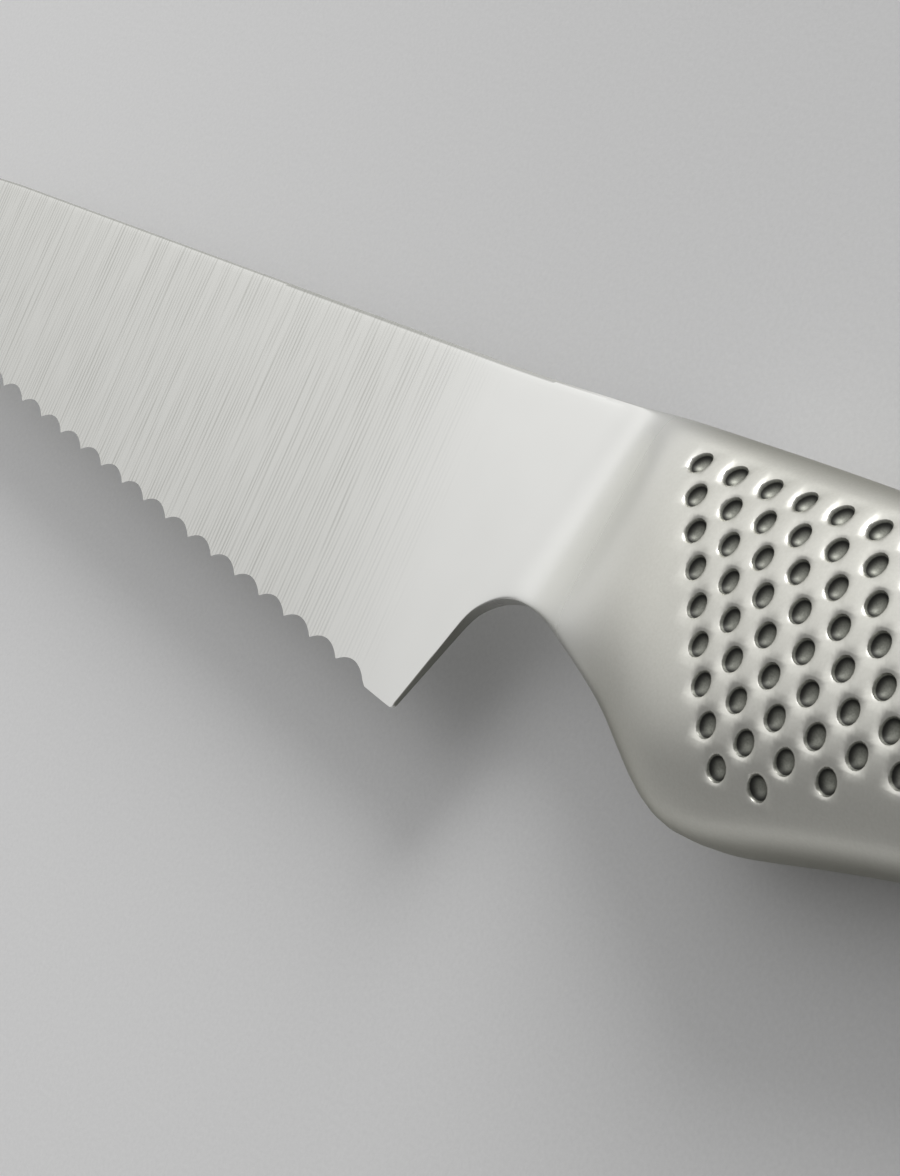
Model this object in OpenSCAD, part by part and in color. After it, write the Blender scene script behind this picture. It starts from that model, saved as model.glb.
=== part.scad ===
// Serrated utility knife, one continuous piece of stainless steel.
// It lies on its side: +X runs along the spine to the butt, +Y from the
// cutting edge to the spine and +Z out of the left face of the blade.
// Outlines are worked out from the heel corner of the edge, at mid-thickness.

/* [Blade] */
// Length of the blade, from tip to heel corner
blade_length = 150; // [110:1:200]
// Height of the blade at the heel
blade_height = 28.8; // [26:0.2:34]
// Angle between the cutting edge and the spine
edge_angle = 7; // [5:0.5:8]
// Thickness of the spine at the heel
spine_thickness = 2; // [1.6:0.1:2.6]
// Thickness just behind the edge at the heel
edge_thickness = 0.3; // [0.2:0.05:0.5]
// Thickness that the blade loses from heel to tip
distal_taper = 0.9; // [0.4:0.1:1.2]
// Height of the bevel that was ground before the scallops, on the right
bevel_height = 1.2; // [0.6:0.1:2]
// Length over which the edge curves up to the tip
belly_length = 20; // [10:1:30]
// Radius of that curve
belly_radius = 100; // [60:5:200]
// Length over which the spine curves down to the tip
spine_curve = 62; // [40:1:80]

/* [Scallops] */
// Distance from one scallop to the next
scallop_pitch = 4.5; // [3.5:0.1:7]
// Depth of a scallop below its cusps, seen on the left face
scallop_depth = 0.95; // [0.5:0.05:1.4]
// Distance of the cusps behind the plain edge
cusp_lift = 0.2; // [0.05:0.05:0.4]
// Plain edge between the heel corner and the first scallop
plain_edge = 4.7; // [3:0.1:12]
// Least plain edge between the last scallop and the tip
plain_tip = 4; // [3:0.5:12]
// Angle between the ground hollow and the left face
grind_angle = 16; // [12:1:24]

/* [Finger notch] */
// Angle of the heel's back edge to the spine
heel_angle = 67; // [60:1:75]
// Height of that edge's straight stretch
heel_straight = 8; // [6:0.5:9]
// Softness of the heel corner, 0 being sharp
heel_softness = 0.12; // [0.02:0.02:0.3]
// Top of the notch, behind the heel corner
notch_x = 9.7; // [8.7:0.1:11.5]
// Top of the notch, above the heel corner
notch_y = 11.9; // [11:0.1:15]

/* [Handle] */
// Length from the heel corner to the butt
handle_length = 120; // [110:1:135]
// Rise of the handle's top above the spine
handle_rise = 1.1; // [0:0.1:3]
// Length over which the top rises
rise_length = 52; // [40:1:60]
// Lowest point of the front swell, behind the heel corner
swell_x = 36.5; // [33:0.5:40]
// Lowest point of the front swell, above the heel corner
swell_y = 1.9; // [0:0.1:4]
// First stretch of the underside behind the front swell
swell_run = 8.5; // [6:0.5:12]
// Height that the underside gains over that stretch
swell_gain = 1.55; // [0.5:0.05:2]
// Waist of the underside, behind the heel corner
waist_x = 80; // [72:1:86]
// Waist of the underside, above the heel corner
waist_y = 8.6; // [6:0.1:10]
// Lowest point of the rear swell, before the butt
rear_swell = 12; // [10:1:16]
// Height of the rear swell above the heel corner
rear_swell_y = 5; // [3:0.1:7]
// Length of the rounded butt
butt_length = 11; // [8:0.5:16]
// Squareness of the butt's outline, where 2 is an ellipse
butt_squareness = 2.2; // [2:0.1:3]
// Thickness where the flare ends
flare_thickness = 14.4; // [12:0.1:16]
// Thickness of the front swell
swell_thickness = 15.6; // [13:0.1:18]
// Thickness of the waist
waist_thickness = 13.6; // [11:0.1:16]
// Thickness of the rear swell
rear_thickness = 15; // [12:0.1:18]
// Squareness of the handle's section, where 2 is an ellipse
roundness = 2.65; // [2.2:0.05:3.5]
// Start of the flare from blade to handle at the notch, behind the heel corner
flare_low = 2.5; // [1:0.5:7]
// Start of the flare at the spine, behind the heel corner
flare_high = 9; // [7:0.5:14]
// End of the flare, behind the heel corner
flare_end = 31; // [27:0.5:34]

/* [Dents] */
// Distance between dents in a row
dent_pitch = 3.9; // [3.4:0.05:6]
// Distance between rows
row_pitch = 2.4; // [2.2:0.05:3.5]
// Diameter of a dent at the surface
dent_diameter = 2; // [1.2:0.1:2.1]
// Depth of a dent
dent_depth = 0.6; // [0.3:0.05:0.9]
// First dent of the top row, behind the heel corner
first_dent = 26.9; // [26:0.1:34]
// Distance of the top row from the handle's top
top_margin = 3.45; // [3:0.05:6]
// Least distance of a dent from the underside at the front swell
low_margin = 1.8; // [1.4:0.1:5]
// Growth of that distance for each millimetre that the underside rises
low_growth = 0.75; // [0.2:0.05:1.2]
// Least distance of a dent from the butt
rear_margin = 9; // [7:0.5:16]

/* [Hidden] */
steel = [0.78, 0.78, 0.76];
dent_black = [0.2, 0.2, 0.19];

// Very smooth step from 0 at a to 1 at b, without slope or bend at either end
function ease(x, a, b) =
    let (t = min(1, max(0, (x - a) / (b - a)))) t * t * t * (10 - 15 * t + 6 * t * t);
function mix(a, b, t) = a + (b - a) * t;
// The larger of two heights, with a soft corner where they cross
function soft_max(a, b, r) = (a + b) / 2 + sqrt(pow((a - b) / 2, 2) + r * r);

// Height at x of a smooth curve through points given as [x, height, slope]
function piece(p, q, x) =
    let (d = q[0] - p[0], t = (x - p[0]) / d)
    p[1] + (q[1] - p[1]) * t * t * (3 - 2 * t)
    + d * (p[2] * t * (1 - t) * (1 - t) - q[2] * t * t * (1 - t));
function curve(points, x, i = 0) =
    i >= len(points) - 2 || x < points[i + 1][0]
        ? piece(points[i], points[i + 1], x)
        : curve(points, x, i + 1);

// Cutting edge before the scallops, rising towards the tip
function edge_line(x) =
    -x * tan(edge_angle) + pow(max(0, belly_length - blade_length - x), 2) / (2 * belly_radius);
tip_y = edge_line(-blade_length);

// Heel edge and finger notch: a straight foot, a bend and the flat top.
// The bend is placed by its shares of the way from the foot to the top.
heel_slope = tan(heel_angle);
foot_x = heel_straight / heel_slope;
bend_share = [0.31, 0.64];
bend_steepness = 1.2;
bend_slope = bend_steepness * (notch_y - heel_straight) / (notch_x - foot_x);

// The fall from the notch to the front swell, placed in the same way
fall_share = [0.6, 0.48];
fall_steepness = 1.5;
fall_slope = -fall_steepness * (notch_y - swell_y) / (swell_x - notch_x);

// Steepness at the end of the first stretch behind the swell
run_steepness = 1.43;
run_slope = run_steepness * swell_gain / swell_run;
rear_x = handle_length - rear_swell;
underside = [
    [0, 0, heel_slope],
    [foot_x, heel_straight, heel_slope],
    [mix(foot_x, notch_x, bend_share[0]), mix(heel_straight, notch_y, bend_share[1]), bend_slope],
    [notch_x, notch_y, 0],
    [mix(notch_x, swell_x, fall_share[0]), mix(notch_y, swell_y, fall_share[1]), fall_slope],
    [swell_x, swell_y, 0],
    [swell_x + swell_run, swell_y + swell_gain, run_slope],
    [waist_x, waist_y, 0],
    [rear_x, rear_swell_y, 0],
    [handle_length, rear_swell_y, 0]
];

// Shrinking of the section over the rounded butt
butt_x = handle_length - butt_length;
function butt(x) =
    x <= butt_x ? 1 : section((x - butt_x) / butt_length, butt_squareness);

// Outline: the spine runs straight, rises into the handle and curves to the tip
top_y = blade_height + handle_rise;
butt_y = (top_y + rear_swell_y) / 2;
rise_x = -10;
tip_drop = blade_height - tip_y;
spine_radius = (spine_curve * spine_curve + tip_drop * tip_drop) / (2 * tip_drop);
function spine_line(x) =
    blade_height + handle_rise * ease(x, rise_x, rise_x + rise_length)
    - spine_radius + sqrt(spine_radius * spine_radius - pow(max(0, spine_curve - blade_length - x), 2));
function top_line(x) = mix(butt_y, spine_line(x), butt(x));
function lower_line(x) =
    soft_max(edge_line(x), x < 0 ? x * heel_slope : curve(underside, x), heel_softness);
function bottom_line(x) = mix(butt_y, lower_line(x), butt(x));

// Half the blade's thickness: two plane faces that meet towards edge and tip
function blade_half(x, y) =
    0.5 * mix(edge_thickness, spine_thickness, y / blade_height) + 0.5 * distal_taper * x / blade_length;

// Half the handle's thickness at its middle, thickest a little behind the swell
thickest_x = swell_x + 6;
flare_slope = 0.04;
thickness = [
    [flare_end, flare_thickness / 2, flare_slope],
    [thickest_x, swell_thickness / 2, 0],
    [waist_x, waist_thickness / 2, 0],
    [rear_x, rear_thickness / 2, 0],
    [handle_length, rear_thickness / 2, 0]
];
greatest_half = max([for (p = thickness) p[1]]);
function handle_half(x) = curve(thickness, max(x, flare_end)) * butt(x);

// Flare from blade to handle, which starts later at the spine than at the notch
function flare_start(y) = mix(flare_low, flare_high, (y - notch_y) / (blade_height - notch_y));
function flare(x, y) = ease(x, flare_start(y), flare_end);
function half_thickness(x, y) = mix(blade_half(x, y), handle_half(x), flare(x, y));

// The section goes from the blade's flat sides to the handle's oval
blade_squareness = 24;
function squareness(x) =
    roundness * pow(blade_squareness / roundness, 1 - ease(x, flare_low, flare_end));
function section(s, n) = pow(max(0, 1 - pow(abs(s), n)), 1 / n);

// Left surface at x, where s runs from -1 at the underside to 1 at the top
function side_y(x, s) = mix(bottom_line(x), top_line(x), (s + 1) / 2);
function side_z(x, s) =
    let (low = x < 0 && s < 0 ? 1 : section(s, squareness(x)))
    half_thickness(x, side_y(x, s)) * low;
// Right surface, with the bevel of the cutting edge
function right_z(x, s) =
    let (y = side_y(x, s), h = half_thickness(x, y), up = (y - edge_line(x)) / bevel_height)
    x < 0 && up < 1 ? mix(h, -h, up) : -side_z(x, s);

// Places along half the section, close together at its ends
ring_half = 8;
places = [for (i = [-ring_half:ring_half]) sin(90 * sin(90 * i / ring_half))];
function ring(x) = concat(
    [for (s = places) [x, side_y(x, s), side_z(x, s)]],
    [for (i = [len(places) - 2:-1:1]) [x, side_y(x, places[i]), right_z(x, places[i])]]);

// Stations along the knife, close together where its outline bends
tip_steps = 11;
notch_steps = 16;
flare_steps = 20;
grip_steps = 14;
butt_steps = 10;
front_x = swell_x + swell_run;
stations = concat(
    [for (i = [1:tip_steps]) -blade_length + spine_curve * pow(i / tip_steps, 2)],
    [-plain_edge, -1, -0.5, -0.25],
    [for (i = [0:notch_steps - 1]) notch_x * pow(i / notch_steps, 1.2)],
    [for (i = [0:flare_steps - 1]) mix(notch_x, front_x, i / flare_steps)],
    [for (i = [0:grip_steps - 1]) mix(front_x, butt_x, i / grip_steps)],
    [for (i = [0:butt_steps - 1]) mix(butt_x, handle_length, sin(90 * i / butt_steps))]);

module form() {
    rings = [for (x = stations) ring(x)];
    n = len(rings[0]);
    last = len(rings) - 1;
    tip = [-blade_length, tip_y, blade_half(-blade_length, tip_y)];
    end = [handle_length, butt_y, 0];
    points = concat([tip, end], [for (r = rings) each r]);
    sides = [for (k = [0:last - 1], i = [0:n - 1])
        let (a = 2 + k * n + i, b = 2 + k * n + (i + 1) % n)
        each [[a, b, b + n], [a, b + n, a + n]]];
    front = [for (i = [0:n - 1]) [0, 2 + (i + 1) % n, 2 + i]];
    back = [for (i = [0:n - 1]) [1, 2 + last * n + i, 2 + last * n + (i + 1) % n]];
    polyhedron(points, concat(front, sides, back));
}

// Hollow grinding of the scallops, one cylinder each, from the right
grind_depth = scallop_depth * sin(grind_angle);
grind_radius = (scallop_pitch * scallop_pitch / 4 + grind_depth * grind_depth) / (2 * grind_depth);
grind_length = 16;
grind_start = -6;
scallop_count = floor((blade_length - plain_edge - plain_tip) / scallop_pitch);
module scallops() {
    for (i = [0:scallop_count - 1]) {
        x = -plain_edge - (i + 0.5) * scallop_pitch;
        y = edge_line(x) + cusp_lift + scallop_depth;
        slope = atan(edge_line(x - 0.5) - edge_line(x + 0.5));
        translate([x, y, blade_half(x, y)])
            rotate([0, 0, -slope])
                rotate([-90 - grind_angle, 0, 0])
                    translate([0, grind_radius, grind_start])
                        cylinder(r = grind_radius, h = grind_length, $fn = 180);
    }
}

// Dents in staggered rows on both sides of the handle
ball = (dent_diameter * dent_diameter / 4 + dent_depth * dent_depth) / (2 * dent_depth);
row_count = floor((top_y - top_margin) / row_pitch);
column_count = floor(handle_length / dent_pitch);
function low_limit(x) =
    bottom_line(x) + low_margin + low_growth * (bottom_line(x) - swell_y);
function dented(x, y) = y > low_limit(x) && x < handle_length - rear_margin;
function surface_z(x, y) =
    side_z(x, (2 * y - bottom_line(x) - top_line(x)) / (top_line(x) - bottom_line(x)));
// Outward normal of the left surface, from its height a little way off
probe = 0.1;
function outward(x, y) =
    let (dx = surface_z(x + probe, y) - surface_z(x - probe, y))
    let (dy = surface_z(x, y + probe) - surface_z(x, y - probe))
    [-dx, -dy, 2 * probe] / norm([dx, dy, 2 * probe]);
module dents() {
    for (j = [0:row_count], i = [0:column_count]) {
        x = first_dent + (i + j / 2) * dent_pitch;
        y = top_y - top_margin - j * row_pitch;
        if (dented(x, y)) {
            centre = [x, y, surface_z(x, y)] + outward(x, y) * (ball - dent_depth);
            for (side = [-1, 1])
                translate([centre[0], centre[1], side * centre[2]])
                    sphere(r = ball, $fn = 16);
        }
    }
}

// The knife on its side, with the middle of its base on the origin
module knife() {
    translate([(blade_length - handle_length) / 2, -top_y / 2, greatest_half])
        difference() {
            color(steel) form();
            color(steel) scallops();
            color(dent_black) dents();
        }
}

knife();
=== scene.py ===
# %% [markdown]
# # A serrated utility knife in satin steel
# The knife is one seamless piece of stainless steel: a scalloped blade, a finger
# notch and a hollow oval handle full of small dark dents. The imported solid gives
# its size and place. This script wraps it in one fine skin, ground and blasted
# as the real steel is, and lights it like a knife on a sheet of pale paper.

# %% Load the frame
import math

import bmesh
import bpy
from mathutils import Matrix, Vector


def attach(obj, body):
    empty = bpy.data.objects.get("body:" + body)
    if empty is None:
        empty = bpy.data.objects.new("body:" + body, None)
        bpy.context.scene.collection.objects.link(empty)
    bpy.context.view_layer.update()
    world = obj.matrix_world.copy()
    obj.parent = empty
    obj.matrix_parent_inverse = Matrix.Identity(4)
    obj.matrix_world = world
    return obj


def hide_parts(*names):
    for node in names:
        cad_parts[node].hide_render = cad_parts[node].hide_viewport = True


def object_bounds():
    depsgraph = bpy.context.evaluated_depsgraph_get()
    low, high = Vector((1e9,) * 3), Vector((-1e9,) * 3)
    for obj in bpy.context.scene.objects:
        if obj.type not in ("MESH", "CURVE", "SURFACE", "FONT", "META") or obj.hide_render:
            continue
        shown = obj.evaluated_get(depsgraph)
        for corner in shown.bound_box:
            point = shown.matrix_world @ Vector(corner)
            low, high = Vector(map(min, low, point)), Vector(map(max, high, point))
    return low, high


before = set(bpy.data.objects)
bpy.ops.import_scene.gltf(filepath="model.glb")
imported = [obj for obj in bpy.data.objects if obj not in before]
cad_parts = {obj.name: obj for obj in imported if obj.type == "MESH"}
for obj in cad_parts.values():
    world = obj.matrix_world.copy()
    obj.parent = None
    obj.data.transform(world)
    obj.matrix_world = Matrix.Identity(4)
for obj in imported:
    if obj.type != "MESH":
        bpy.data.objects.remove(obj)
cad_low, cad_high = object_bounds()
print("solid, mm:", [round(1000 * d, 2) for d in cad_high - cad_low])

# %% [markdown]
# ## Where things are
# Every outline of a knife is drawn from the heel corner, where the cutting edge
# ends. Lengths here are in millimetres from that corner, as on the drawing:
# x to the butt, y to the spine, z out of the left face. One function brings a
# drawing point into the frame, in metres.

# %% The heel corner
MM = 0.001
BLADE_LENGTH = 150
BLADE_HEIGHT = 28.8
HANDLE_RISE = 1.1
TOP = BLADE_HEIGHT + HANDLE_RISE
heel = Vector((cad_low.x + BLADE_LENGTH * MM, cad_high.y - TOP * MM, (cad_low.z + cad_high.z) / 2))


def place(x, y, z):
    """A point of the drawing, in the frame."""
    return heel + Vector((x, y, z)) * MM


print("heel corner:", tuple(round(c, 4) for c in heel))

# %% [markdown]
# ## The camera
# The picture looks down along the handle, with the knife running off both sides.
# A long lens close to the handle gives that strong narrowing. The place and the
# two directions below were found by laying the knife's outline on the picture.

# %% Camera
LENS = 97
CAMERA_PLACE = (195.99, 10.94, 155.74)
VIEW_DIRECTION = Vector((-0.78283, -0.00138, -0.62223))
PICTURE_RIGHT = Vector((0.56187, 0.42809, -0.70784))

camera = bpy.data.objects.new("camera", bpy.data.cameras.new("camera"))
bpy.context.scene.collection.objects.link(camera)
camera.data.lens = LENS
camera.data.clip_start = 10 * MM
backward = -VIEW_DIRECTION.normalized()
upward = backward.cross(PICTURE_RIGHT).normalized()
turn = Matrix((upward.cross(backward), upward, backward)).transposed()
camera.matrix_world = Matrix.LocRotScale(place(*CAMERA_PLACE), turn.to_quaternion(), None)
bpy.context.scene.camera = camera
print("camera:", tuple(round(c, 3) for c in camera.location))

# %% [markdown]
# ## The outline
# Seen from its left, the knife has a straight spine, an edge at a small angle to
# it, a notch for the forefinger and a handle with two swells and a waist. Smooth
# curves through a few points give the outline, the same points as in the solid.

# %% Small helpers for curves
TINY = 1e-6


def mix(a, b, share):
    """The value at a share of the way from a to b."""
    return a + (b - a) * share


def ease(x, a, b):
    """A very smooth step from 0 at a to 1 at b, without slope or bend at either end."""
    share = min(1, max(0, (x - a) / (b - a)))
    return share**3 * (10 - 15 * share + 6 * share**2)


def soft_max(a, b, softness):
    """The larger of two heights, with a soft corner where they cross."""
    return (a + b) / 2 + math.hypot((a - b) / 2, softness)


def curve(points, x):
    """Height at x of a smooth curve through points given as (x, height, slope)."""
    index = 0
    while index < len(points) - 2 and x >= points[index + 1][0]:
        index += 1
    (ax, ay, a_slope), (bx, by, b_slope) = points[index], points[index + 1]
    run = bx - ax
    t = (x - ax) / run
    rise = (by - ay) * t * t * (3 - 2 * t)
    return ay + rise + run * (a_slope * t * (1 - t) ** 2 - b_slope * t * t * (1 - t))


def section(share, squareness):
    """Height of an oval at a share of its half width, where squareness 2 is an ellipse."""
    return max(0, 1 - abs(share) ** squareness) ** (1 / squareness)


print("at half its width an ellipse is", round(section(0.5, 2), 3), "of its height")

# %% Edge, spine and underside
EDGE_ANGLE = 7
EDGE_SLOPE = math.tan(math.radians(EDGE_ANGLE))
BELLY_LENGTH = 20
BELLY_RADIUS = 100
SPINE_CURVE = 62
HANDLE_LENGTH = 120
RISE = (-10, 42)
HEEL_SLOPE = math.tan(math.radians(67))
HEEL_STRAIGHT = 8
HEEL_SOFTNESS = 0.12
NOTCH = (9.7, 11.9)
SWELL = (36.5, 1.9)
SWELL_RUN = (8.5, 1.55)
WAIST = (80, 8.6)
REAR_SWELL = (HANDLE_LENGTH - 12, 5)
BUTT_LENGTH = 11
BUTT_SQUARENESS = 2.2


def edge_line(x):
    """The straight edge before the scallops, rising towards the tip."""
    return -x * EDGE_SLOPE + max(0, BELLY_LENGTH - BLADE_LENGTH - x) ** 2 / (2 * BELLY_RADIUS)


TIP_Y = edge_line(-BLADE_LENGTH)
TIP_DROP = BLADE_HEIGHT - TIP_Y
SPINE_RADIUS = (SPINE_CURVE**2 + TIP_DROP**2) / (2 * TIP_DROP)
BUTT_X = HANDLE_LENGTH - BUTT_LENGTH
BUTT_Y = (TOP + REAR_SWELL[1]) / 2

# The bend at the notch's front and the fall behind it lie at shares of their runs,
# and each is steeper there than a straight line over its run, by these factors
BEND_SHARE = (0.31, 0.64)
FALL_SHARE = (0.6, 0.48)
BEND_STEEPNESS = 1.2
FALL_STEEPNESS = 1.5
RUN_STEEPNESS = 1.43
foot_x = HEEL_STRAIGHT / HEEL_SLOPE
UNDERSIDE = [
    (0, 0, HEEL_SLOPE),
    (foot_x, HEEL_STRAIGHT, HEEL_SLOPE),
    (
        mix(foot_x, NOTCH[0], BEND_SHARE[0]),
        mix(HEEL_STRAIGHT, NOTCH[1], BEND_SHARE[1]),
        BEND_STEEPNESS * (NOTCH[1] - HEEL_STRAIGHT) / (NOTCH[0] - foot_x),
    ),
    (*NOTCH, 0),
    (
        mix(NOTCH[0], SWELL[0], FALL_SHARE[0]),
        mix(NOTCH[1], SWELL[1], FALL_SHARE[1]),
        -FALL_STEEPNESS * (NOTCH[1] - SWELL[1]) / (SWELL[0] - NOTCH[0]),
    ),
    (*SWELL, 0),
    (SWELL[0] + SWELL_RUN[0], SWELL[1] + SWELL_RUN[1], RUN_STEEPNESS * SWELL_RUN[1] / SWELL_RUN[0]),
    (*WAIST, 0),
    (*REAR_SWELL, 0),
    (HANDLE_LENGTH, REAR_SWELL[1], 0),
]


def butt(x):
    """How much is left of the section over the rounded butt."""
    return 1 if x <= BUTT_X else section((x - BUTT_X) / BUTT_LENGTH, BUTT_SQUARENESS)


def top_line(x):
    """Spine and top of the handle."""
    drop = SPINE_RADIUS - math.sqrt(SPINE_RADIUS**2 - max(0, SPINE_CURVE - BLADE_LENGTH - x) ** 2)
    return mix(BUTT_Y, BLADE_HEIGHT + HANDLE_RISE * ease(x, *RISE) - drop, butt(x))


def bottom_line(x):
    """Straight edge, then heel, notch and underside of the handle."""
    behind = x * HEEL_SLOPE if x < 0 else curve(UNDERSIDE, x)
    return mix(BUTT_Y, soft_max(edge_line(x), behind, HEEL_SOFTNESS), butt(x))


print("tip at y", round(TIP_Y, 2), "notch at y", round(bottom_line(NOTCH[0]), 2))

# %% [markdown]
# ## The thickness
# The blade is ground flat on both faces, so its thickness falls in a straight
# line from the spine to the edge and from the heel to the tip. Behind the notch
# the sheet flares into the oval shell of the handle, and the flare starts later
# at the spine than at the notch.

# %% Left and right surface
SPINE_THICKNESS = 2
EDGE_THICKNESS = 0.3
DISTAL_TAPER = 0.9
FLARE_LOW = 2.5
FLARE_HIGH = 9
FLARE_END = 31
FLARE_SLOPE = 0.04
FLARE_THICKNESS = 14.4
SWELL_THICKNESS = 15.6
WAIST_THICKNESS = 13.6
REAR_THICKNESS = 15
BLADE_SQUARENESS = 24
HANDLE_SQUARENESS = 2.65
thickest_x = SWELL[0] + 6
HALF_THICKNESS = [
    (FLARE_END, FLARE_THICKNESS / 2, FLARE_SLOPE),
    (thickest_x, SWELL_THICKNESS / 2, 0),
    (WAIST[0], WAIST_THICKNESS / 2, 0),
    (REAR_SWELL[0], REAR_THICKNESS / 2, 0),
    (HANDLE_LENGTH, REAR_THICKNESS / 2, 0),
]


def blade_half(x, y):
    """Half the blade's thickness."""
    thick = mix(EDGE_THICKNESS, SPINE_THICKNESS, y / BLADE_HEIGHT) + DISTAL_TAPER * x / BLADE_LENGTH
    return thick / 2


def half_thickness(x, y):
    """Half the knife's thickness before its section is rounded."""
    start = mix(FLARE_LOW, FLARE_HIGH, (y - NOTCH[1]) / (BLADE_HEIGHT - NOTCH[1]))
    handle = curve(HALF_THICKNESS, max(x, FLARE_END)) * butt(x)
    return mix(blade_half(x, y), handle, ease(x, start, FLARE_END))


def left_z(x, y):
    """The left surface above the middle plane."""
    low, high = bottom_line(x), top_line(x)
    share = (2 * y - low - high) / max(TINY, high - low)
    share = max(-1, min(1, share))
    ratio = BLADE_SQUARENESS / HANDLE_SQUARENESS
    squareness = HANDLE_SQUARENESS * ratio ** (1 - ease(x, FLARE_LOW, FLARE_END))
    rounding = 1 if x < 0 and share < 0 else section(share, squareness)
    return half_thickness(x, y) * rounding


print("half thickness at the front swell:", round(left_z(thickest_x, TOP / 2), 2))

# %% [markdown]
# ## The scallops
# The teeth are ground from the right side only: a round stone, tilted to the
# blade, cuts one hollow after another, and where two hollows meet a cusp stands.
# Each hollow is a tilted cylinder here, and the right surface is whichever of
# face, bevel and hollows has cut deepest. The lip is where it meets the left face.

# %% Right surface and lip
BEVEL_HEIGHT = 1.2
SCALLOP_PITCH = 4.5
SCALLOP_DEPTH = 0.95
CUSP_LIFT = 0.2
PLAIN_EDGE = 4.7
PLAIN_TIP = 4
GRIND_ANGLE = math.radians(16)
GRIND_DEPTH = SCALLOP_DEPTH * math.sin(GRIND_ANGLE)
GRIND_RADIUS = (SCALLOP_PITCH**2 / 4 + GRIND_DEPTH**2) / (2 * GRIND_DEPTH)
SCALLOP_COUNT = int((BLADE_LENGTH - PLAIN_EDGE - PLAIN_TIP) / SCALLOP_PITCH)


def edge_slant(x):
    """Angle of the straight edge to the spine."""
    return math.atan(edge_line(x - 0.5) - edge_line(x + 0.5))


def hollow_z(index, x, y):
    """Height of one hollow's ground surface."""
    centre_x = -PLAIN_EDGE - (index + 0.5) * SCALLOP_PITCH
    centre_y = edge_line(centre_x) + CUSP_LIFT + SCALLOP_DEPTH
    slant = edge_slant(centre_x)
    across = (x - centre_x) * math.cos(slant) - (y - centre_y) * math.sin(slant)
    along = (x - centre_x) * math.sin(slant) + (y - centre_y) * math.cos(slant)
    if abs(across) >= GRIND_RADIUS:
        return -math.inf
    sink = GRIND_RADIUS - math.sqrt(GRIND_RADIUS**2 - across**2)
    lowering = (sink + along * math.sin(GRIND_ANGLE)) / math.cos(GRIND_ANGLE)
    return blade_half(centre_x, centre_y) - lowering


def right_z(x, y):
    """The right surface, with the bevel and the hollows of the edge."""
    if x >= 0:
        return -left_z(x, y)
    half = half_thickness(x, y)
    surface = -left_z(x, y)
    rise = (y - edge_line(x)) / BEVEL_HEIGHT
    if rise < 1:
        surface = max(surface, mix(half, -half, rise))
    nearest = round((-x - PLAIN_EDGE) / SCALLOP_PITCH - 0.5)
    for index in range(max(0, nearest - 1), min(SCALLOP_COUNT, nearest + 2)):
        surface = max(surface, hollow_z(index, x, y))
    return surface


print("scallops:", SCALLOP_COUNT, "stone radius, mm:", round(GRIND_RADIUS, 2))

# %% [markdown]
# ## Rows and columns of the skin
# A grid is bent round the knife: its columns run from tip to butt and its rows
# go round. On the handle both follow the lattice of the dents, so that every
# dent falls on the same small block of faces. On the blade the columns count
# the scallops, and stand square to the edge where the stone cut.

# %% Columns
DENT_PITCH = 3.9
ROW_PITCH = 2.4
FIRST_DENT = 26.9
TOP_MARGIN = 3.45
DENT_COLUMNS = 8
DENT_ROWS = 4
SCALLOP_COLUMNS = 10
TIP_COLUMNS = 12
BUTT_COLUMNS = 16
HEEL_ZONE = 0.6
NECK_END = 14
column_step = DENT_PITCH / DENT_COLUMNS
row_step = ROW_PITCH / DENT_ROWS


def spread(a, b, count):
    """Evenly spaced values from a, without b."""
    return [mix(a, b, index / count) for index in range(count)]


# A hollow's middle lies over a point of the edge a little nearer the tip
lean = (CUSP_LIFT + SCALLOP_DEPTH) * math.sin(edge_slant(0)) * math.cos(edge_slant(0))
scallop_end = -PLAIN_EDGE - lean
scallop_start = scallop_end - SCALLOP_COUNT * SCALLOP_PITCH
lattice_start = FIRST_DENT - DENT_COLUMNS / 2 * column_step
# So many columns reach past the last dents before the butt
lattice_count = 180
lattice_end = lattice_start + lattice_count * column_step
columns = (
    [mix(-BLADE_LENGTH, scallop_start, (index / TIP_COLUMNS) ** 2) for index in range(TIP_COLUMNS)]
    + spread(scallop_start, scallop_end, SCALLOP_COUNT * SCALLOP_COLUMNS)
    + spread(scallop_end, -HEEL_ZONE, 8)
    + spread(-HEEL_ZONE, HEEL_ZONE, 8)
    + spread(HEEL_ZONE, NECK_END, 40)
    + spread(NECK_END, lattice_start, 24)
    + spread(lattice_start, lattice_end, lattice_count)
    + [
        mix(lattice_end, HANDLE_LENGTH, math.sin(math.pi / 2 * index / BUTT_COLUMNS))
        for index in range(BUTT_COLUMNS + 1)
    ]
)
print("columns:", len(columns), "lattice ends at", round(lattice_end, 2))

# %% Rows
CAP_ROWS = 8
SIDE_ROWS = 36
BAND_ROWS = 12
half_rows = CAP_ROWS + SIDE_ROWS + CAP_ROWS
lattice_high = TOP - TOP_MARGIN + ROW_PITCH / 2
lattice_low = lattice_high - SIDE_ROWS * row_step
LOW_MARGIN = 1.8
LOW_GROWTH = 0.75
REAR_MARGIN = 9
# Rows crowd in these bands over the edge and under the spine. The bands shrink
# near the tip, where the blade is lower than its full height.
EDGE_BAND = (0.8, 3.5)
SPINE_BAND = 0.8
FULL_HEIGHT = 10
# The rows below the lattice keep clear of the underside and of the lowest dents
UNDER_CAP = 1.6
UNDER_SOFTNESS = 0.05
UNDER_DENTS = 0.65
# Here the rows pass from the blade's levels to the handle's
NECK = (10, 24.5)


def low_limit(x):
    """Least height of a dent's middle at x."""
    rise = bottom_line(x)
    return rise + LOW_MARGIN + LOW_GROWTH * (rise - SWELL[1])


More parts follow.
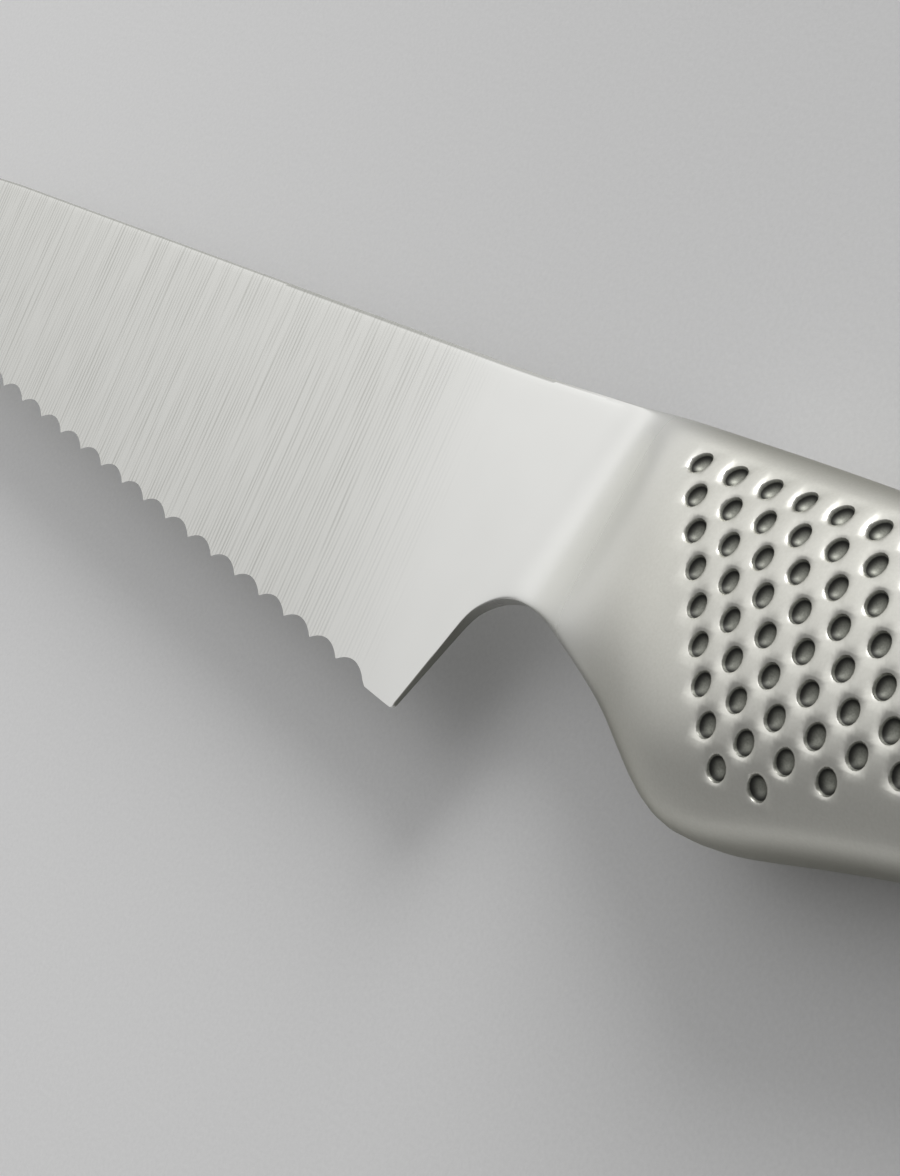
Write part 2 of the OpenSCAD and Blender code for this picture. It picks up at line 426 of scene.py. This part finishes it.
def blade_level(low, high, row):
    """Height of a row on the blade, where rows crowd at edge and spine."""
    scale = min(1, (high - low) / FULL_HEIGHT)
    near, far = low + EDGE_BAND[0] * scale, low + EDGE_BAND[1] * scale
    under_spine = high - SPINE_BAND * scale
    middle_row = CAP_ROWS + BAND_ROWS
    if row <= CAP_ROWS:
        return mix(near, low, math.sin(math.pi / 2 * (CAP_ROWS - row) / CAP_ROWS))
    if row <= middle_row:
        return mix(near, far, (row - CAP_ROWS) / BAND_ROWS)
    if row <= half_rows - CAP_ROWS:
        return mix(far, under_spine, (row - middle_row) / (half_rows - CAP_ROWS - middle_row))
    return mix(under_spine, high, math.sin(math.pi / 2 * (row - half_rows + CAP_ROWS) / CAP_ROWS))


def handle_level(x, row):
    """Height of a row on the handle, on the dents' lattice wherever there are dents."""
    low, high = bottom_line(x), top_line(x)
    side_low = soft_max(lattice_low, low + UNDER_CAP, UNDER_SOFTNESS)
    if row < CAP_ROWS:
        return mix(side_low, low, math.sin(math.pi / 2 * (CAP_ROWS - row) / CAP_ROWS))
    if row > half_rows - CAP_ROWS:
        share = (row - half_rows + CAP_ROWS) / CAP_ROWS
        return mix(lattice_high, high, math.sin(math.pi / 2 * share))
    level = lattice_low + (row - CAP_ROWS) * row_step
    held = max(lattice_low, low_limit(x) - ROW_PITCH / 2 - UNDER_DENTS)
    if level >= held or held - lattice_low < TINY:
        return level
    return mix(side_low, held, (level - lattice_low) / (held - lattice_low))


def row_level(x, low, row):
    """Height of a row at x, on blade, neck, handle or butt."""
    if x <= NECK[0]:
        return blade_level(low, top_line(x), row)
    if x > lattice_end:
        high, ref_low, ref_high = top_line(x), bottom_line(lattice_end), top_line(lattice_end)
        share = (handle_level(lattice_end, row) - ref_low) / (ref_high - ref_low)
        return mix(low, high, share)
    return mix(blade_level(low, top_line(x), row), handle_level(x, row), ease(x, *NECK))


print("rows round the knife:", 2 * half_rows, "lattice from", round(lattice_low, 2), "to", lattice_high)

# %% [markdown]
# ## Bending the grid
# One flat grid is made by an operator and every point moves to its place. Its
# first and last row meet along the cutting edge and the underside, and its ends
# shrink to the tip and the butt, so merging doubles closes the skin.

# %% The lip and the points of a column
LIP_REACH = 2.5
HALVINGS = 30
UPRIGHT_TIP = 5


def lip(u):
    """Where the ground surface meets the left face, as a distance from the straight edge."""
    slant = edge_slant(u)
    low, high = 0, LIP_REACH
    for _ in range(HALVINGS):
        middle = (low + high) / 2
        x, y = u + middle * math.sin(slant), edge_line(u) + middle * math.cos(slant)
        if right_z(x, y) >= left_z(x, y):
            low = middle
        else:
            high = middle
    return low


def column_points(u):
    """The points of one column, from the underside over the left face and round."""
    on_blade = u < 0
    low = edge_line(u) + lip(u) * math.cos(edge_slant(u)) if on_blade else bottom_line(u)
    low = min(max(low, bottom_line(u)), top_line(u))
    left, right = [], []
    for row in range(half_rows + 1):
        y = row_level(u, low, row)
        x = u
        if on_blade:
            reach = EDGE_BAND[1] * min(1, (top_line(u) - low) / FULL_HEIGHT)
            height = min(y - edge_line(u), reach + low - edge_line(u))
            share = ease(-u, 0, PLAIN_EDGE) * min(1, (BLADE_LENGTH + u) / UPRIGHT_TIP)
            x += height * math.tan(edge_slant(u)) * share
        left.append((x, y, left_z(x, y)))
        right.append((x, y, right_z(x, y)))
    if not on_blade:
        left[0] = (left[0][0], left[0][1], 0)
    left[half_rows] = (left[half_rows][0], left[half_rows][1], 0)
    return left + right[-2:0:-1] + [left[0]]


print("lip over the middle of a hollow, mm:", round(lip(scallop_end - SCALLOP_PITCH / 2), 2))

# %% Skin
# The sheared faces of spine, heel and notch are what lies inside this share of the
# thickness. They fade out over these stretches of x, the spine's less dull than the
# heel's. On the spine the dullness is partly painted shade.
CUT_SHARE = 0.96
CUT_DEPTH = 1
HEEL_CUT = (2, 11)
SPINE_CUT_AND_SHADE = (0, 14)
SPINE_DULL_AND_SHADE = 0.55

skin = bmesh.new()
bmesh.ops.create_grid(skin, x_segments=len(columns) - 1, y_segments=2 * half_rows, size=0.5)
column_of = skin.verts.layers.int.new("column")
row_of = skin.verts.layers.int.new("row")
paint_and_shade_of = skin.verts.layers.float.new("dent_paint_and_shade")
cut_and_shade_of = skin.verts.layers.float.new("cut_face_and_shade")
grids = [column_points(u) for u in columns]
for vert in skin.verts:
    vert[column_of] = round((vert.co.x + 0.5) * (len(columns) - 1))
    vert[row_of] = round((vert.co.y + 0.5) * 2 * half_rows)
    vert.co = grids[vert[column_of]][vert[row_of]]
    x, y, z = vert.co
    if abs(z) < CUT_SHARE * half_thickness(x, y):
        if y > top_line(x) - CUT_DEPTH:
            # Along the spine the dull face is partly painted shade
            vert[cut_and_shade_of] = SPINE_DULL_AND_SHADE * (1 - ease(x, *SPINE_CUT_AND_SHADE))
        elif x > 0:
            vert[cut_and_shade_of] = 1 - ease(x, *HEEL_CUT)
print("grid:", len(skin.verts), "points", len(skin.faces), "faces")

# %% [markdown]
# ## The dents
# Small round dents are pressed into both sides in staggered rows, and their
# bottoms are painted dark. Each block of faces is dissolved into one, inset
# ring by ring, and every ring is laid on a circle of the dent's own profile: a
# rolled shoulder first, then the steep wall and the round bottom.

# %% One dent
SHOULDER_RADIUS = 1.45
WELL_RADIUS = 0.98
SHOULDER_DEPTH = 0.17
WELL_DEPTH = 0.72
WELL_ROUNDNESS = 0.75
RING_RADII = (1.12, WELL_RADIUS, 0.92, 0.84, 0.7, 0.48, 0.24)
# Paint on each ring, with painted shade and light: none on the rim, darkest by the wall, paler over the
# bottom
RING_PAINT_AND_SHADE = (0, 0.05, 0.4, 1, 0.85, 0.6, 0.45)
MIDDLE_PAINT_AND_LIGHT = 0.4
# Slopes are measured over this much on either side
PROBE = 0.1


def dent_depth(radius):
    """Depth of a dent at a distance from its middle: a round well inside a rolled shoulder."""
    if radius >= SHOULDER_RADIUS:
        return 0
    if radius >= WELL_RADIUS:
        share = (SHOULDER_RADIUS - radius) / (SHOULDER_RADIUS - WELL_RADIUS)
        return SHOULDER_DEPTH * share**2
    return SHOULDER_DEPTH + WELL_DEPTH * (1 - (radius / WELL_RADIUS) ** 2) ** WELL_ROUNDNESS


class Dent:
    """A dent's middle on the smooth surface, and the directions there."""

    def __init__(self, x, y, side):
        slope_x = (left_z(x + PROBE, y) - left_z(x - PROBE, y)) / (2 * PROBE)
        slope_y = (left_z(x, y + PROBE) - left_z(x, y - PROBE)) / (2 * PROBE)
        self.middle = Vector((x, y, left_z(x, y)))
        self.normal = Vector((-slope_x, -slope_y, 1)).normalized()
        self.along = Vector((1, 0, slope_x)).normalized()
        self.across = self.normal.cross(self.along)
        self.side = side

    def pressed(self, x, y):
        """A point of the dented surface at the place x, y."""
        smooth = Vector((x, y, left_z(x, y)))
        spot = smooth - self.normal * dent_depth((smooth - self.middle).length)
        return Vector((spot.x, spot.y, spot.z * self.side))

    def lay_ring(self, vert, radius):
        """Moves a point of the dent's face to the circle of a ring, at its own angle."""
        point = Vector((vert.co.x, vert.co.y, vert.co.z * self.side)) - self.middle
        angle = math.atan2(point.dot(self.across), point.dot(self.along))
        spot = self.middle + (self.along * math.cos(angle) + self.across * math.sin(angle)) * radius
        vert.co = self.pressed(spot.x, spot.y)


print("a dent is", SHOULDER_DEPTH + WELL_DEPTH, "deep and", 2 * SHOULDER_RADIUS, "wide")

# %% Places of the dents


def dent_places():
    """Row and middle of each dent, as in the solid."""
    for row in range(int((TOP - TOP_MARGIN) / ROW_PITCH) + 1):
        for index in range(int(HANDLE_LENGTH / DENT_PITCH) + 1):
            x = FIRST_DENT + (index + row / 2) * DENT_PITCH
            y = TOP - TOP_MARGIN - row * ROW_PITCH
            if y > low_limit(x) and x < HANDLE_LENGTH - REAR_MARGIN:
                yield row, x, y


print("dents on each side:", len(list(dent_places())))

# %% Blocks of faces


def corner(face):
    """Column and row of a grid face's first corner."""
    return min(vert[column_of] for vert in face.verts), min(vert[row_of] for vert in face.verts)


grid_points = {(vert[column_of], vert[row_of]): vert for vert in skin.verts}
grid_faces = {corner(face): face for face in skin.faces}
first_lattice = columns.index(lattice_start)
# A block reaches this many columns and rows to either side of the dent's middle
half_width = DENT_COLUMNS // 2 - 1
half_block = DENT_ROWS // 2
dents = []
for row, x, y in dent_places():
    column = first_lattice + round((x - lattice_start) / column_step)
    level = half_rows - CAP_ROWS - half_block - row * DENT_ROWS
    for side, middle in ((1, level), (-1, 2 * half_rows - level)):
        dent = Dent(x, y, side)
        rim = [
            grid_points[(column + i, middle + j)] for i in (-1, 0, 1) for j in (-half_block, half_block)
        ]
        for vert in rim:
            vert.co = dent.pressed(vert.co.x, vert.co.y)
        block = [
            grid_faces[(column + i, middle + j)]
            for i in range(-half_width, half_width)
            for j in range(-half_block, half_block)
        ]
        dents.append((dent, bmesh.ops.dissolve_faces(skin, faces=block)["region"][0]))
print("blocks dissolved:", len(dents))

# %% Rings of the dents
# Any small inset will do, because each ring's points are laid on their circle after it
inset = {"thickness": 0.01, "use_even_offset": False}
for radius, paint in zip(RING_RADII, RING_PAINT_AND_SHADE):
    bmesh.ops.inset_individual(skin, faces=[face for _, face in dents], **inset)
    for dent, face in dents:
        for vert in face.verts:
            dent.lay_ring(vert, radius)
            vert[paint_and_shade_of] = paint

for dent, face in dents:
    bottom = bmesh.ops.poke(skin, faces=[face])["verts"][0]
    bottom.co = dent.pressed(dent.middle.x, dent.middle.y)
    bottom[paint_and_shade_of] = MIDDLE_PAINT_AND_LIGHT
print("faces now:", len(skin.faces))

# %% [markdown]
# ## Closing the skin
# The seam along the cutting edge and the points gathered at tip and butt are
# merged, the normals turned outwards, and the skin goes from drawing to frame.
# Shading is smooth up to an angle, so that edge, spine and cusps stay crisp.

# %% Close the skin and bring it into the frame
MERGE_DISTANCE = 0.0001
SHARP_ANGLE = 35
bmesh.ops.remove_doubles(skin, verts=skin.verts, dist=MERGE_DISTANCE)
bmesh.ops.dissolve_degenerate(skin, edges=skin.edges, dist=MERGE_DISTANCE)
bmesh.ops.recalc_face_normals(skin, faces=skin.faces)
bmesh.ops.scale(skin, vec=(MM, MM, MM), verts=skin.verts)
bmesh.ops.translate(skin, vec=heel, verts=skin.verts)
open_edges = sum(1 for edge in skin.edges if not edge.is_manifold)
triangles = sum(len(face.verts) - 2 for face in skin.faces)
print("skin:", len(skin.verts), "points", triangles, "triangles", open_edges, "open edges")

mesh = bpy.data.meshes.new("knife_skin")
skin.to_mesh(mesh)
skin.free()
mesh.shade_smooth()
mesh.set_sharp_from_angle(angle=math.radians(SHARP_ANGLE))
knife = bpy.data.objects.new("knife_skin", mesh)
bpy.context.scene.collection.objects.link(knife)

# %% [markdown]
# ## Materials
# Colours are given as they would be read off a screen, and one function turns
# them to the linear values that the shader works with. One helper adds a node.

# %% Helpers for materials


def linear(hex_colour):
    """An sRGB hex colour as linear RGBA."""
    values = [int(hex_colour[i : i + 2], 16) / 255 for i in (0, 2, 4)]
    curve_back = [v / 12.92 if v <= 0.04045 else ((v + 0.055) / 1.055) ** 2.4 for v in values]
    return (*curve_back, 1)


def node(tree, kind, settings=None, **inputs):
    """Adds a node. Inputs are named, or numbered as i0, i1 and so on, and take a value or a link."""
    made = tree.nodes.new(kind)
    for key, value in (settings or {}).items():
        setattr(made, key, value)
    for key, value in inputs.items():
        name = key.replace("_", " ")
        socket = made.inputs[int(key[1:])] if key[0] == "i" and key[1:].isdigit() else made.inputs[name]
        if isinstance(value, bpy.types.NodeSocket):
            tree.links.new(value, socket)
        else:
            socket.default_value = value
    return made


def new_material(name):
    """An empty material, and its tree of nodes."""
    material = bpy.data.materials.new(name)
    material.use_nodes = True
    material.node_tree.nodes.clear()
    return material, material.node_tree


print("a mid grey of 808080 is", round(linear("808080")[0], 3), "in linear light")

# %% [markdown]
# ## Satin stainless steel
# The knife is chromium steel throughout, finished in three ways: the blade is
# ground by a belt that runs square to the spine, its neck is polished bright, and
# the handle is blasted to an even satin. All this could be an image on a UV map,
# but noise in millimetres from the heel corner needs none, and keeps its scale.

# %% Where each finish lies
GROUND = (0, -22)
BLASTED = (15, 30)
steel, tree = new_material("satin_stainless_steel")
place_node = node(tree, "ShaderNodeTexCoord")
from_heel = node(
    tree,
    "ShaderNodeMapping",
    Vector=place_node.outputs["Object"],
    Location=-heel / MM,
    Scale=(1 / MM, 1 / MM, 1 / MM),
)
along = node(tree, "ShaderNodeSeparateXYZ", Vector=from_heel.outputs[0]).outputs["X"]
soft_step = {"interpolation_type": "SMOOTHSTEP"}
ground = node(
    tree, "ShaderNodeMapRange", soft_step, Value=along, From_Min=GROUND[0], From_Max=GROUND[1]
).outputs[0]
blasted = node(
    tree, "ShaderNodeMapRange", soft_step, Value=along, From_Min=BLASTED[0], From_Max=BLASTED[1]
).outputs[0]
print("ground lines grow in over x", GROUND, "and the blasted satin over x", BLASTED)

# %% Patterns in the steel
# The belt's grit leaves a line every half millimetre; a wave of scale 1 repeats every 0.314 mm
LINE_PITCH = 0.5
line_place = node(tree, "ShaderNodeMapping", Vector=from_heel.outputs[0], Scale=(1, 0.04, 0.05))
lines = node(
    tree,
    "ShaderNodeTexWave",
    {"bands_direction": "X"},
    Vector=line_place.outputs[0],
    Scale=0.314 / LINE_PITCH,
    Distortion=5,
    Detail=1,
    Detail_Scale=1.2,
)
line_depth = node(tree, "ShaderNodeMapRange", Value=lines.outputs["Fac"], From_Min=0.35, From_Max=1)
# Some lines are deeper, some hardly there, and they end on the polished neck
grit_place = node(tree, "ShaderNodeMapping", Vector=from_heel.outputs[0], Scale=(1.1, 0.1, 0.1))
grit = node(tree, "ShaderNodeTexNoise", Vector=grit_place.outputs[0], Scale=1, Detail=2, Roughness=0.6)
grit_share = node(tree, "ShaderNodeMapRange", Value=grit.outputs[0], From_Min=0.35, From_Max=0.65)
multiply = {"operation": "MULTIPLY"}
line_share = node(tree, "ShaderNodeMath", multiply, i0=line_depth.outputs[0], i1=grit_share.outputs[0])
# Blasting pits are 0.05 mm wide, too fine to show, so these are drawn at 0.25 mm
pits = node(tree, "ShaderNodeTexNoise", Vector=from_heel.outputs[0], Scale=4, Detail=2, Roughness=0.6)
# Faint clouds some 11 mm wide, where the polishing wheel pressed more or less
clouds = node(
    tree, "ShaderNodeTexNoise", Vector=from_heel.outputs[0], Scale=0.09, Detail=3, Roughness=0.5
)
print("a ground line every", LINE_PITCH, "mm")

# %% Bright, ground and blasted steel
mixed_colour = {"data_type": "RGBA"}
neck_colour = node(
    tree, "ShaderNodeMix", mixed_colour, i0=clouds.outputs[0], i6=linear("F8F8F5"), i7=linear("EFEFEC")
)
ground_colour = node(
    tree, "ShaderNodeMix", mixed_colour, i0=line_share.outputs[0], i6=linear("E8E8E4"), i7=linear("CDCDC8")
)
blasted_colour = node(
    tree, "ShaderNodeMix", mixed_colour, i0=pits.outputs[0], i6=linear("E2E1DA"), i7=linear("D4D3CB")
)
front_colour = node(
    tree, "ShaderNodeMix", mixed_colour, i0=ground, i6=neck_colour.outputs[2], i7=ground_colour.outputs[2]
)
steel_colour = node(
    tree,
    "ShaderNodeMix",
    mixed_colour,
    i0=blasted,
    i6=front_colour.outputs[2],
    i7=blasted_colour.outputs[2],
)
# Steel polished on a wheel has a roughness of about 0.25 and mirrors nearly all light at a
# flat angle. Blasted steel scatters more and mirrors less there; its edge tint is set darker
# still as painted shade, which dims the handle's rounded top and underside.
roughness = node(tree, "ShaderNodeMapRange", Value=blasted, To_Min=0.26, To_Max=0.34)
edge_tint_and_shade = node(tree, "ShaderNodeMix", mixed_colour, i0=blasted, i6=linear("F0F0EE"), i7=linear("A8A8A2"))
pit_depth = node(tree, "ShaderNodeMath", multiply, i0=blasted, i1=pits.outputs[0])
pit_bump = node(tree, "ShaderNodeBump", Height=pit_depth.outputs[0], Strength=0.35, Distance=0.01 * MM)
metal = node(
    tree,
    "ShaderNodeBsdfPrincipled",
    Base_Color=steel_colour.outputs[2],
    Metallic=1.0,
    Roughness=roughness.outputs[0],
    Specular_Tint=edge_tint_and_shade.outputs[2],
    Normal=pit_bump.outputs[0],
)

print("nodes in the steel so far:", len(tree.nodes))

# %% [markdown]
# ## Sheared faces
# The blade is sheared out of sheet steel, and its narrow faces along the spine,
# at the heel and in the notch stay as the shears left them: dull, dark and matt
# beside the polished flats. Along the spine the dark colour is also painted shade,
# for the dark line that the edge-on face shows. The skin's own attribute says
# where they are, which follows the outline exactly and needs no painted mask.

# %% Sheared face
cut = node(tree, "ShaderNodeAttribute", {"attribute_name": "cut_face_and_shade"})
# Dull, dark sheared steel, which on the spine is partly painted shade
sheared_and_shaded = node(
    tree, "ShaderNodeBsdfPrincipled", Base_Color=linear("85857E"), Metallic=1.0, Roughness=0.5
)
bare = node(
    tree, "ShaderNodeMixShader", i0=cut.outputs["Fac"], i1=metal.outputs[0], i2=sheared_and_shaded.outputs[0]
)
print("nodes with the sheared faces:", len(tree.nodes))

# %% [markdown]
# ## Dark paint in the dents
# Dark paint is rubbed over the dented handle and wiped off, so it stays only in
# the dents. Its colour is darkest against the wall, as painted shade, and paler
# and speckled over the bottom, as painted light, where the steel glints through.
# How dark it is was written on the skin with the rings of each dent, because a
# mask by place would have to repeat the whole lattice.

# %% Darkened dents
# Painted shade and light: over this range the paint goes from its pale bottom to dark by the wall
PAINT_SHADE_RANGE = (0.45, 1.0)
PAINT_RIM = (0.1, 0.4)
paint = node(tree, "ShaderNodeAttribute", {"attribute_name": "dent_paint_and_shade"})
# The specks are 0.15 mm wide
specks = node(tree, "ShaderNodeTexNoise", Vector=from_heel.outputs[0], Scale=7, Detail=2, Roughness=0.7)
# Painted light: the paler, speckled colour of the paint over a dent's bottom
pale_paint_and_light = node(
    tree, "ShaderNodeMix", mixed_colour, i0=specks.outputs[0], i6=linear("757670"), i7=linear("B0B1A6")
)
# Painted shade: how dark the paint is, from the bottom up to the wall
thickness = node(
    tree,
    "ShaderNodeMapRange",
    soft_step,
    Value=paint.outputs["Fac"],
    From_Min=PAINT_SHADE_RANGE[0],
    From_Max=PAINT_SHADE_RANGE[1],
)
# Painted shade: the paint darkens from pale over the bottom to dark against the wall
paint_and_shade_colour = node(
    tree,
    "ShaderNodeMix",
    mixed_colour,
    i0=thickness.outputs[0],
    i6=pale_paint_and_light.outputs[2],
    i7=linear("30302D"),
)
darkened = node(
    tree, "ShaderNodeBsdfPrincipled", Base_Color=paint_and_shade_colour.outputs[2], Metallic=0.6, Roughness=0.48
)
in_dent = node(
    tree,
    "ShaderNodeMapRange",
    soft_step,
    Value=paint.outputs["Fac"],
    From_Min=PAINT_RIM[0],
    From_Max=PAINT_RIM[1],
)
finish = node(
    tree, "ShaderNodeMixShader", i0=in_dent.outputs[0], i1=bare.outputs[0], i2=darkened.outputs[0]
)
node(tree, "ShaderNodeOutputMaterial", Surface=finish.outputs[0])
mesh.materials.append(steel)
print("nodes in the whole finish:", len(tree.nodes))

# %% The skin stands for the solid
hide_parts("knife")
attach(knife, "root")
print(knife.name, "stands for the solid knife")

# %% [markdown]
# ## The floor
# The knife lies on a sheet of matt grey paper. One big square with a paper finish
# does: it carries the knife's soft shadow, and the steel mirrors it from below.

# %% Floor
HALF_SIDE = 3
floor_mesh = bpy.data.meshes.new("floor")
floor_maker = bmesh.new()
bmesh.ops.create_grid(floor_maker, x_segments=1, y_segments=1, size=HALF_SIDE)
floor_maker.to_mesh(floor_mesh)
floor_maker.free()
floor = bpy.data.objects.new("floor", floor_mesh)
bpy.context.scene.collection.objects.link(floor)
print("floor, m:", 2 * HALF_SIDE, "square")

# %% Matt grey paper
# Painted light: the sheet is coloured a little paler towards the tip of the knife than towards its butt,
# for light that falls off across it
PAINTED_LIGHT_DIRECTION = (0.79, 0.61, 0)
PAINTED_LIGHT_RUN = (-90, 80)
paper, tree = new_material("matt_grey_paper")
floor_place = node(tree, "ShaderNodeTexCoord")
from_middle = node(
    tree, "ShaderNodeMapping", Vector=floor_place.outputs["Object"], Scale=(1 / MM, 1 / MM, 1 / MM)
)
along_painted_light = node(
    tree,
    "ShaderNodeVectorMath",
    {"operation": "DOT_PRODUCT"},
    i0=from_middle.outputs[0],
    i1=PAINTED_LIGHT_DIRECTION,
)
painted_light_falloff = node(
    tree,
    "ShaderNodeMapRange",
    soft_step,
    Value=along_painted_light.outputs["Value"],
    From_Min=PAINTED_LIGHT_RUN[0],
    From_Max=PAINTED_LIGHT_RUN[1],
)
# Painted light: a paler grey where the light is stronger and a darker grey where it falls off
painted_light_tone = node(
    tree, "ShaderNodeMix", mixed_colour, i0=painted_light_falloff.outputs[0], i6=linear("E6E6E6"), i7=linear("D1D1D1")
)
# Sized paper has fibres 0.1 mm thick that lie every way, drawn at 0.4 mm so that they show
fibres = node(
    tree, "ShaderNodeTexNoise", Vector=from_middle.outputs[0], Scale=2.4, Detail=3, Roughness=0.7
)
sheet_colour = node(
    tree,
    "ShaderNodeMix",
    {**mixed_colour, "blend_type": "MULTIPLY"},
    i0=fibres.outputs[0],
    i6=painted_light_tone.outputs[2],
    i7=linear("EDEDED"),
)
fibre_bump = node(tree, "ShaderNodeBump", Height=fibres.outputs[0], Strength=0.3, Distance=0.03 * MM)
sheet = node(
    tree,
    "ShaderNodeBsdfPrincipled",
    Base_Color=sheet_colour.outputs[2],
    Roughness=0.9,
    Normal=fibre_bump.outputs[0],
)
node(tree, "ShaderNodeOutputMaterial", Surface=sheet.outputs[0])
floor_mesh.materials.append(paper)
print("nodes in the paper:", len(tree.nodes))

# %% [markdown]
# ## The light
# A large window or softbox low on the spine side lights the knife and throws its
# shadow to the edge side. A lamp of a given size and distance does the same, and
# a large one keeps the shadow's border soft. It is set by how it looks from the
# knife: its direction, how wide it is and how bright.

# %% Light
KNIFE_MIDDLE = place(20, 15, 0)


def direction(azimuth, elevation):
    """The unit vector at an angle round from +X and an angle up from the floor."""
    turn_angle, rise_angle = math.radians(azimuth), math.radians(elevation)
    flat = math.cos(rise_angle)
    return Vector((flat * math.cos(turn_angle), flat * math.sin(turn_angle), math.sin(rise_angle)))


def softbox(name, azimuth, elevation, half_angle, brightness, distance=1.2):
    """A round soft light of a given look from the knife: direction, half angle and brightness."""
    lamp = bpy.data.lights.new(name, "AREA")
    lamp.shape = "DISK"
    radius = distance * math.tan(math.radians(half_angle))
    lamp.size = 2 * radius
    lamp.energy = brightness * math.pi * math.pi * radius**2
    made = bpy.data.objects.new(name, lamp)
    bpy.context.scene.collection.objects.link(made)
    away = direction(azimuth, elevation)
    made.location = KNIFE_MIDDLE + away * distance
    made.rotation_mode = "QUATERNION"
    made.rotation_quaternion = away.to_track_quat("Z", "Y")
    return made


key = softbox("key_softbox", azimuth=95, elevation=26, half_angle=16, brightness=7.2)
print("softbox of", round(key.data.size, 2), "m at", tuple(round(c, 2) for c in key.location))

# %% [markdown]
# ## The room
# Polished steel shows its surroundings, so the room is its real colour: a pale
# wall behind the blade that reaches over the knife and fades to a dim room on
# the edge side. White cards would do it too, but the world's brightness as a
# function of direction makes that wall without any object.

# %% Room
WALL_GLOW = 0.7
ROOM_GLOW = 0.28
SKIRTING_GLOW = 0.13
world = bpy.data.worlds.new("studio")
world.use_nodes = True
tree = world.node_tree
tree.nodes.clear()
sky = node(tree, "ShaderNodeTexCoord")
part = node(tree, "ShaderNodeSeparateXYZ", Vector=sky.outputs["Generated"])
x_part, y_part, z_part = part.outputs
# The wall fades towards the edge side, towards the camera, and a little towards the floor
across = node(tree, "ShaderNodeMapRange", Value=y_part, From_Min=-0.38, From_Max=0.12)
beyond = node(tree, "ShaderNodeMapRange", soft_step, Value=x_part, From_Min=0.5, From_Max=0)
higher = node(
    tree, "ShaderNodeMapRange", soft_step, Value=z_part, From_Min=0.4, From_Max=0.65, To_Min=0.8
)
wall = node(tree, "ShaderNodeMath", multiply, i0=across.outputs[0], i1=beyond.outputs[0])
wall = node(tree, "ShaderNodeMath", multiply, i0=wall.outputs[0], i1=higher.outputs[0])
# A low strip of light far behind the tip brightens what faces along the handle
low = node(tree, "ShaderNodeMapRange", soft_step, Value=z_part, From_Min=0.45, From_Max=0.1)
far = node(tree, "ShaderNodeMapRange", soft_step, Value=x_part, From_Min=-0.4, From_Max=-0.8)
skirting = node(tree, "ShaderNodeMath", multiply, i0=low.outputs[0], i1=far.outputs[0])
multiply_add = {"operation": "MULTIPLY_ADD"}
glow = node(tree, "ShaderNodeMath", multiply_add, i0=wall.outputs[0], i1=WALL_GLOW, i2=ROOM_GLOW)
glow = node(
    tree, "ShaderNodeMath", multiply_add, i0=skirting.outputs[0], i1=SKIRTING_GLOW, i2=glow.outputs[0]
)
room = node(tree, "ShaderNodeBackground", Color=linear("FFFFFF"), Strength=glow.outputs[0])
node(tree, "ShaderNodeOutputWorld", Surface=room.outputs[0])
bpy.context.scene.world = world
bpy.context.scene.view_settings.view_transform = "Standard"
print("the room's glow is", ROOM_GLOW, "at least and", round(ROOM_GLOW + WALL_GLOW, 2), "at the wall")
